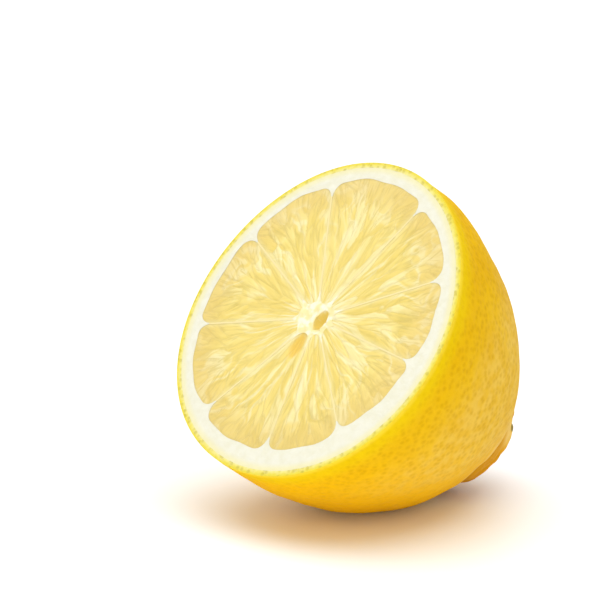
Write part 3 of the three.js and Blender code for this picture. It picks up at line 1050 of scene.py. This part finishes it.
def make_segment(number):
    grid = segment_grid(number)
    x, y = grid["x"], grid["y"]
    flat = np.stack([x, y], axis=1)
    sacs = sac_pattern(x, y, place_sacs(number, np.random.default_rng(SAC_SEED + number)))
    border = smooth_step(sacs["groove"], 0, BORDER_WIDTH)
    arc = np.hypot(x, y) * SEGMENT_WIDTHS[number]
    to_wall = arc * np.minimum(grid["part"], 1 - grid["part"])
    to_edge = np.minimum(np.minimum(grid["to_rim"], grid["to_heart"]), to_wall)
    height = sac_relief(sacs, border, to_edge) - hollow_drop(SEED_BED, x, y)
    ring = boundary_ring(PULP_ALONG + 1, PULP_ACROSS + 1)
    points = np.vstack([np.c_[flat, height], *hull_rings(flat[ring])])
    below = len(points) - len(flat)
    values = {
        "groove": np.r_[border, np.ones(below)],
        "tone": np.r_[sacs["tone"], np.full(below, 0.5)],
        "flow": np.vstack([sacs["flow"], np.zeros((below, 3))]),
        "ray": np.vstack([ray_places(number, flat, grid["part"]), np.zeros((below, 3))]),
        "to_rim": np.r_[grid["to_rim"], np.full(below, FAR)],
        "to_heart": np.r_[grid["to_heart"], np.full(below, FAR)],
        "to_wall": np.r_[to_wall, np.full(below, FAR)],
        "bed": np.r_[1 - smooth_step(hollow_reach(SEED_BED, x, y), *BED_EDGE), np.zeros(below)],
    }
    faces = segment_faces(ring, len(flat))
    return make_piece(f"segment_{number + 1}", points, faces, values, sharp_angle=60)


segments = [make_segment(number) for number in range(SEGMENTS)]

# %% [markdown]
# ## Calyx
# The calyx is the dry green-brown button that held the stem. It has five blunt lobes round a
# dished scar. It could be sculpted, but its lobes are regular enough for waves round a ring.
# Rings that follow an outline, from its underside to the scar, make it, as on a lathe.
# Each ring is then pushed in and out by the lobes, and up and down by fine ribs.

# %% Calyx mesh
CALYX_RADIUS = 3.3
CALYX_HEIGHT = 2.1
CALYX_GAP = 0.3
CALYX_OUTLINE = [
    (0.3, 0.0), (0.62, 0.05), (0.86, 0.25), (0.98, 0.5), (1.0, 0.72), (0.93, 0.88),
    (0.78, 0.98), (0.6, 1.0), (0.46, 0.96), (0.38, 0.86), (0.2, 0.8),
]
CALYX_COLUMNS = 120
CALYX_ROWS = 44
LOBES = {"count": 5, "height": 0.16}
CRINKLES = {"count": 14, "height": 0.03, "start": 1}
RIBS = {"count": 24, "height": 0.07, "twist": 3}
SCAR_HEIGHT = 0.78


def make_calyx():
    angles = np.linspace(0, 2 * math.pi, CALYX_COLUMNS, endpoint=False)
    floor = COLLAR_END - DIMPLE_DEPTH + CALYX_GAP
    outline = evenly(np.array(CALYX_OUTLINE) * [CALYX_RADIUS, CALYX_HEIGHT], CALYX_ROWS)
    rows = []
    for radius, height in outline:
        share = radius / CALYX_RADIUS
        lobes = LOBES["height"] * share ** 2 * np.cos(LOBES["count"] * angles)
        crinkles = np.cos(CRINKLES["count"] * angles + CRINKLES["start"])
        reach = radius * (1 + lobes + CRINKLES["height"] * share * crinkles)
        ribs = np.cos(RIBS["count"] * angles + RIBS["twist"] * share)
        rise = height + RIBS["height"] * share * ribs
        rows.append(np.stack([
            reach * np.cos(angles) + BEND[0],
            reach * np.sin(angles) + BEND[1],
            -floor - rise,
        ], axis=1))
    poles = [[*BEND, -floor], [*BEND, -floor - SCAR_HEIGHT * CALYX_HEIGHT]]
    points = np.vstack([*rows, poles])
    return make_piece("stem_button", points, shell_faces(CALYX_ROWS, CALYX_COLUMNS))


calyx = make_calyx()

# %% [markdown]
# ## Coats of colour
# The finishes that follow are all made in one way. A material starts with one colour, and
# more colours are laid over it like thin coats of paint. Each coat has masks that say where it
# shows and how strongly. A mask is a noise pattern, or one of the places stored in the mesh, read
# between two values. This makes a material a list that can be read and changed line by line.
# Pattern sizes are given in millimetres, because a peel's grain can be measured with a ruler,
# and so are the depths of bumps and how far light spreads under a surface.

# %% Helpers for the finishes
def new_material(name):
    material = bpy.data.materials.new(name)
    material.use_nodes = True
    return material, material.node_tree, material.node_tree.nodes["Principled BSDF"]


def set_values(shader, values):
    for socket, value in values.items():
        shader.inputs[socket].default_value = value


def per_mm(size):
    """The texture scale, in repeats a metre, for a pattern that repeats every size mm."""
    return 1 / (size * MM)


def paint(tree, colour, coats):
    """Lays coats over a first colour. A colour is a hex string or a socket.

    A coat is a colour and its masks. A mask is a socket, and maybe the two values between
    which it acts, and the strength at each of the two. Several masks multiply.
    """
    for over, *masks in coats:
        strength = None
        for source, *limits in masks:
            if limits:
                ends = dict(zip(("From Min", "From Max", "To Min", "To Max"), limits))
                source = add_node(tree, "ShaderNodeMapRange", {"interpolation_type": "SMOOTHSTEP"},
                                  ends, {"Value": source}).outputs["Result"]
            if strength is not None:
                source = add_node(tree, "ShaderNodeMath", {"operation": "MULTIPLY"}, None,
                                  {0: strength, 1: source}).outputs["Value"]
            strength = source
        sides = {6: colour, 7: over}
        fixed = {side: from_hex(code) for side, code in sides.items() if isinstance(code, str)}
        linked = {side: code for side, code in sides.items() if side not in fixed}
        mix = add_node(tree, "ShaderNodeMix", {"data_type": "RGBA"}, fixed, {0: strength, **linked})
        colour = mix.outputs[2]
    return colour


print("a grain of 2 mm is a texture scale of", per_mm(2))

# %% [markdown]
# ## Finish: lemon zest
# The outside of a lemon is a thin natural wax over yellow cells. The wax has an index of
# refraction of about 1.4. It gives the eye broad soft highlights and not sharp ones, so the
# roughness is middling, and the reflection is weak and yellowish. Oil glands lie a little over
# a millimetre apart. Each one shows as a small pit, darker and browner than the skin round
# it, and fainter on the belly and near the cut. A Voronoi texture scatters the pits. One
# noise texture varies the yellow over centimetres. Low on the fruit a lighter yellow is painted
# as fill light for the shade there, and on the flank a finer noise makes the pale flecks of a
# painted sheen. The band by the cut is fresher, and light at its very edge. The last coats are
# the stem end's: the lip's painted highlight, the brownish collar, which is partly painted
# shade, the furrow's painted shade, and the olive scar of a healed nick.

# %% Zest finish
PIT_SPACING = 1.1
PIT_REACH = 0.72
PIT_HEIGHT = -0.15
PIT_WOBBLE = 0.4 * MM
WOBBLE_SIZE = 2.0
PEEL_GRAIN = 2.2
GRAIN_HEIGHT = 0.6
PEEL_PEBBLES = 1.3
PEBBLE_HEIGHT = 0.8
TONE_PATCH = 16.0


def zest_relief(tree, mottle, pit, place):
    """Bumps of the peel: two grains of pebbles, with the pits sunk into them."""
    pebbles = add_node(tree, "ShaderNodeTexNoise", None,
                       {"Scale": per_mm(PEEL_PEBBLES), "Detail": 1.0}, {"Vector": place})
    dents = add_node(tree, "ShaderNodeMath", {"operation": "MULTIPLY"}, {1: PIT_HEIGHT}, {0: pit})
    coarse = add_node(tree, "ShaderNodeMath", {"operation": "MULTIPLY_ADD"}, {1: GRAIN_HEIGHT},
                      {0: mottle, 2: dents.outputs["Value"]})
    relief = add_node(tree, "ShaderNodeMath", {"operation": "MULTIPLY_ADD"}, {1: PEBBLE_HEIGHT},
                      {0: pebbles.outputs["Fac"], 2: coarse.outputs["Value"]})
    bump = add_node(tree, "ShaderNodeBump", None, {"Strength": 0.6, "Distance": 0.4 * MM},
                    {"Height": relief.outputs["Value"]})
    return bump.outputs["Normal"]


def zest_finish():
    material, tree, shader = new_material("waxy lemon zest")
    place = add_node(tree, "ShaderNodeTexCoord").outputs["Object"]
    wobble = add_node(tree, "ShaderNodeTexNoise", None,
                      {"Scale": per_mm(WOBBLE_SIZE), "Detail": 1.0}, {"Vector": place})
    nudge = add_node(tree, "ShaderNodeVectorMath", {"operation": "MULTIPLY_ADD"},
                     {1: (PIT_WOBBLE, PIT_WOBBLE, PIT_WOBBLE)},
                     {0: wobble.outputs["Color"], 2: place})
    pits = add_node(tree, "ShaderNodeTexVoronoi", None,
                    {"Scale": per_mm(PIT_SPACING)}, {"Vector": nudge.outputs["Vector"]})
    pit = add_node(tree, "ShaderNodeMapRange", {"interpolation_type": "SMOOTHSTEP"},
                   {"From Min": PIT_REACH, "From Max": 0.0},
                   {"Value": pits.outputs["Distance"]}).outputs["Result"]
    patch = add_node(tree, "ShaderNodeTexNoise", None,
                     {"Scale": per_mm(TONE_PATCH), "Detail": 3.0}, {"Vector": place}).outputs["Fac"]
    mottle = add_node(tree, "ShaderNodeTexNoise", None,
                      {"Scale": per_mm(PEEL_GRAIN), "Detail": 1.0}, {"Vector": place}).outputs["Fac"]
    at = {
        name: add_node(tree, "ShaderNodeAttribute", {"attribute_name": name}).outputs["Fac"]
        for name in ("belly", "flank_sheen", "by_cut", "edge", "lip_highlight", "collar", "furrow", "scar")
    }
    coloured = paint(tree, "#deab04", [
        ("#e4b50e", (patch, 0.35, 0.65)),
        # Painted fill light: a lighter, warmer yellow low on the fruit, in the shade under it.
        ("#fbc106", (at["belly"],)),
        # Painted sheen: pale flecks on the flank.
        ("#ecca60", (mottle, 0.35, 0.65, 0.5, 1.0), (at["flank_sheen"], 0, 1, 0.03, 0.6)),
        ("#e7cb08", (at["by_cut"], 0, 1, 0, 0.6)),
        ("#f1d540", (at["edge"], 0, 1, 0, 0.7)),
        ("#c38f00", (pit,), (at["by_cut"], 0, 1, 1, 0.35), (at["belly"], 0, 1, 0.45, 0.12)),
        # Painted highlight on the rounded lip before the furrow.
        ("#efca73", (at["lip_highlight"], 0, 1, 0, 0.7)),
        # Brownish collar: partly its own tint, partly painted shade.
        ("#d2911e", (at["collar"],), (patch, 0.35, 0.65, 0.6, 0.85)),
        # Painted shade in the furrow.
        ("#a46b1c", (at["furrow"],), (patch, 0.4, 0.6, 0.35, 0.75)),
        ("#66622f", (at["scar"], 0, 1, 0, 0.8)),
    ])
    tree.links.new(coloured, shader.inputs["Base Color"])
    tree.links.new(zest_relief(tree, mottle, pit, place), shader.inputs["Normal"])
    set_values(shader, {"Roughness": 0.6, "IOR": 1.4, "Specular IOR Level": 0.04,
                        "Specular Tint": from_hex("#ffc83a")})
    return material


zest = zest_finish()
print("pit spacing", PIT_SPACING, "mm is a scale of", round(per_mm(PIT_SPACING)))

# %% [markdown]
# ## Finish: cut zest
# On the cut, the zest is a thin band that runs from strong yellow at the skin to cream at the
# pith. Cut oil glands lie in it like a row of dark dots. The mesh stores how far each point
# lies under the skin, and the colour follows that distance. A noise makes the borders between
# the colours ragged, because a knife tears some cells and doesn't part all of them cleanly. The
# cut is moist, which gives the eye a faint sheen that is a little sharper than the wax has.

# %% Cut zest finish
GLAND_SPACING = 1.05
TEAR_SIZE = 0.8
TEAR_REACH = 0.15


def cut_zest_finish():
    material, tree, shader = new_material("cut zest")
    place = add_node(tree, "ShaderNodeTexCoord").outputs["Object"]
    depth = add_node(tree, "ShaderNodeAttribute", {"attribute_name": "depth_in"}).outputs["Fac"]
    rough = add_node(tree, "ShaderNodeTexNoise", None,
                     {"Scale": per_mm(TEAR_SIZE), "Detail": 2.0}, {"Vector": place})
    shift = add_node(tree, "ShaderNodeMapRange", {"interpolation_type": "SMOOTHSTEP"},
                     {"From Min": 0.3, "From Max": 0.7, "To Min": -TEAR_REACH, "To Max": TEAR_REACH},
                     {"Value": rough.outputs["Fac"]})
    ragged = add_node(tree, "ShaderNodeMath", {"operation": "ADD"}, None,
                      {0: depth, 1: shift.outputs["Result"]}).outputs["Value"]
    glands = add_node(tree, "ShaderNodeTexVoronoi", None, {"Scale": per_mm(GLAND_SPACING)},
                      {"Vector": place}).outputs["Distance"]
    coloured = paint(tree, "#dfce44", [
        ("#e5db86", (ragged, 0.1, 1.0)),
        ("#e5dd9d", (ragged, 0.8, 1.3)),
        ("#beac3c", (glands, 0.55, 0.15, 0, 0.5)),
    ])
    tree.links.new(coloured, shader.inputs["Base Color"])
    height = add_node(tree, "ShaderNodeMapRange", {"interpolation_type": "SMOOTHSTEP"},
                      {"From Min": 0.15, "From Max": 0.45}, {"Value": glands})
    bump = add_node(tree, "ShaderNodeBump", None, {"Strength": 0.5, "Distance": 0.2 * MM},
                    {"Height": height.outputs["Result"]})
    tree.links.new(bump.outputs["Normal"], shader.inputs["Normal"])
    set_values(shader, {"Roughness": 0.5, "IOR": 1.4, "Specular IOR Level": 0.3})
    return material


cut_zest = cut_zest_finish()
print("cut zest is", ZEST, "mm wide")

# %% [markdown]
# ## Finish: pith
# Pith is a white sponge with a hint of yellow, moist but not shiny. Plant cells have an index of
# refraction near 1.4. Light enters them and comes out again nearby, so the finish has
# subsurface scattering with a short radius. That gives the eye something soft, where a plain
# white would look like chalk. Two noises give it the felt of its fibres. It is yellower beside
# the zest and in the thin membranes, the core of the heart is pale with cream fibres, and the
# walls of the hollow in the heart are golden.

# %% Pith finish
# Real fibres are finer than FELT_SIZE. They are drawn as coarse as they need to show.
SPONGE_SIZE = 1.6
FELT_SIZE = 0.5


def pith_finish():
    material, tree, shader = new_material("white lemon pith")
    place = add_node(tree, "ShaderNodeTexCoord").outputs["Object"]
    sponge = add_node(tree, "ShaderNodeTexNoise", None,
                      {"Scale": per_mm(SPONGE_SIZE), "Detail": 3.0}, {"Vector": place}).outputs["Fac"]
    felt = add_node(tree, "ShaderNodeTexNoise", None,
                    {"Scale": per_mm(FELT_SIZE), "Detail": 2.0}, {"Vector": place}).outputs["Fac"]
    at = {
        name: add_node(tree, "ShaderNodeAttribute", {"attribute_name": name}).outputs["Fac"]
        for name in ("to_zest", "wall", "from_axis", "golden")
    }
    core = paint(tree, "#ebdd9f", [("#efead0", (sponge, 0.4, 0.6))])
    coloured = paint(tree, "#dedbc4", [
        ("#e2e0ce", (sponge, 0.3, 0.7)),
        ("#e5dc9d", (at["to_zest"], 1.6, 0, 0, 0.65)),
        ("#ebd893", (at["wall"], 0, 1, 0, 0.85)),
        (core, (at["from_axis"], 6.5, 4.6)),
        ("#edd675", (at["golden"],)),
    ])
    tree.links.new(coloured, shader.inputs["Base Color"])
    height = add_node(tree, "ShaderNodeMath", {"operation": "ADD"}, None, {0: sponge, 1: felt})
    bump = add_node(tree, "ShaderNodeBump", None, {"Strength": 0.25, "Distance": 0.2 * MM},
                    {"Height": height.outputs["Value"]})
    tree.links.new(bump.outputs["Normal"], shader.inputs["Normal"])
    set_values(shader, {"Roughness": 0.6, "IOR": 1.4, "Subsurface Weight": 0.08,
                        "Subsurface Radius": (0.4 * MM, 0.4 * MM, 0.3 * MM),
                        "Subsurface Scale": 1.0})
    return material


pith_white = pith_finish()
print("pith sponge of", SPONGE_SIZE, "mm is a scale of", round(per_mm(SPONGE_SIZE)))

# %% [markdown]
# ## Finish: juice sacs
# The pulp is nearly all juice, so it is wet and translucent. Juice has an index of refraction
# of 1.36, a little over water's. Light that goes in spreads for about a millimetre before it
# comes out, and a thin clear coat of juice gives small bright glints. Every sac has its own
# tone. Two streak noises lie over that. One is looked up along the rays that run from the
# heart to the rim, and one along the flow of each sac. Both are squeezed in the direction of
# their run, which draws their spots out into streaks. They get deeper near the rim. Along the
# membranes the sacs are paler, by the heart pale veins run in, and at the rim they are a
# duller tan. The seed's bed is a deeper gold. A painted image could carry such streaks, but a
# noise that follows the mesh stays sharp from near by.

# %% Juice sac finish
# The paths are stored in millimetres, so 2.2 means streaks that are about 0.45 mm apart.
RAY_STREAKS_PER_MM = 0.9
SAC_STREAKS_PER_MM = 2.2
STREAK_DETAIL = 1.5
STREAK_SQUEEZE = (1.0, 0.12, 1.0)


def streaks(tree, path, number_per_mm):
    """A noise that is drawn out along a path stored in the mesh."""
    places = add_node(tree, "ShaderNodeAttribute", {"attribute_name": path})
    squeezed = add_node(tree, "ShaderNodeVectorMath", {"operation": "MULTIPLY"},
                        {1: STREAK_SQUEEZE}, {0: places.outputs["Vector"]})
    noise = add_node(tree, "ShaderNodeTexNoise", None,
                     {"Scale": number_per_mm, "Detail": STREAK_DETAIL},
                     {"Vector": squeezed.outputs["Vector"]})
    return noise.outputs["Fac"]


def sac_finish():
    material, tree, shader = new_material("wet juice sacs")
    at = {
        name: add_node(tree, "ShaderNodeAttribute", {"attribute_name": name}).outputs["Fac"]
        for name in ("groove", "tone", "to_rim", "to_heart", "to_wall", "bed")
    }
    ray = streaks(tree, "ray", RAY_STREAKS_PER_MM)
    fine = streaks(tree, "flow", SAC_STREAKS_PER_MM)
    near_rim = (at["to_rim"], 14, 3, 0.25, 0.6)
    coloured = paint(tree, "#e5cd70", [
        ("#ead683", (at["tone"],)),
        ("#ece5b7", (at["tone"], 0.8, 0.9, 0, 0.4)),
        ("#ede4b2", (ray, 0.5, 0.7, 0, 0.75)),
        ("#d6be5c", (ray, 0.5, 0.32), near_rim),
        ("#c7b362", (fine, 0.5, 0.32), near_rim),
        ("#d0bb69", (at["groove"], 0.5, 0.05, 0, 0.18)),
        ("#d9be75", (at["to_rim"], 8, 0.8, 0, 0.5)),
        ("#ede2aa", (at["to_wall"], 1.2, 0.1, 0, 0.35)),
        ("#d0b773", (at["to_rim"], 0.5, 0.1, 0, 0.3)),
        ("#ede6bb", (at["to_heart"], 4, 0.1, 0, 0.65), (ray, 0.42, 0.6)),
        ("#e3bf57", (at["bed"],)),
    ])
    tree.links.new(coloured, shader.inputs["Base Color"])
    relief = add_node(tree, "ShaderNodeMath", {"operation": "ADD"}, None, {0: ray, 1: fine})
    bump = add_node(tree, "ShaderNodeBump", None, {"Strength": 0.3, "Distance": 0.25 * MM},
                    {"Height": relief.outputs["Value"]})
    tree.links.new(bump.outputs["Normal"], shader.inputs["Normal"])
    set_values(shader, {"Roughness": 0.3, "IOR": 1.36, "Coat Weight": 0.15,
                        "Coat Roughness": 0.12, "Subsurface Weight": 0.25,
                        "Subsurface Radius": (1.0 * MM, 0.9 * MM, 0.6 * MM),
                        "Subsurface Scale": 1.0})
    return material


juice = sac_finish()
print("streaks are drawn out", round(1 / STREAK_SQUEEZE[1], 1), "times along their run")

# %% [markdown]
# ## Finish: calyx
# The button is dead plant tissue: dry, matt, and olive-brown. Nothing on it is wet or waxy, so
# it gives the eye hardly any highlight, and it is the roughest finish here. One noise with
# much detail is enough for both the colour and the bumps of something so small.

# %% Calyx finish
CALYX_GRAIN = 0.9


def calyx_finish():
    material, tree, shader = new_material("dry calyx")
    place = add_node(tree, "ShaderNodeTexCoord").outputs["Object"]
    grain = add_node(tree, "ShaderNodeTexNoise", None,
                     {"Scale": per_mm(CALYX_GRAIN), "Detail": 4.0}, {"Vector": place}).outputs["Fac"]
    coloured = paint(tree, "#57552b", [("#847c4b", (grain, 0.35, 0.65))])
    tree.links.new(coloured, shader.inputs["Base Color"])
    bump = add_node(tree, "ShaderNodeBump", None, {"Strength": 0.6, "Distance": 0.2 * MM},
                    {"Height": grain})
    tree.links.new(bump.outputs["Normal"], shader.inputs["Normal"])
    set_values(shader, {"Roughness": 0.8, "IOR": 1.45})
    return material


dry_calyx = calyx_finish()
print("calyx grain of", CALYX_GRAIN, "mm is a scale of", round(per_mm(CALYX_GRAIN)))

# %% [markdown]
# ## Dress the frame
# Each piece gets its finish, rides on the body that its solid belongs to, and hides that
# solid. The skin has two finishes: waxy outside, and cut where the knife went.

# %% Put the pieces in place
BODY = next(iter(frame["bodies"]))


def dress(piece, node, slot, *materials):
    for material in materials:
        piece.data.materials.append(material)
    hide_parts(node)
    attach(piece, BODY)


dress(skin, "rind", "zest", zest, cut_zest)
skin.data.polygons.foreach_set("material_index", skin_finish)
dress(pith, "pith", "pith", pith_white)
dress(calyx, "calyx", "calyx", dry_calyx)
for number, segment in enumerate(segments):
    dress(segment, f"pulp_{number + 1}", "pulp", juice)
print("body:", BODY)
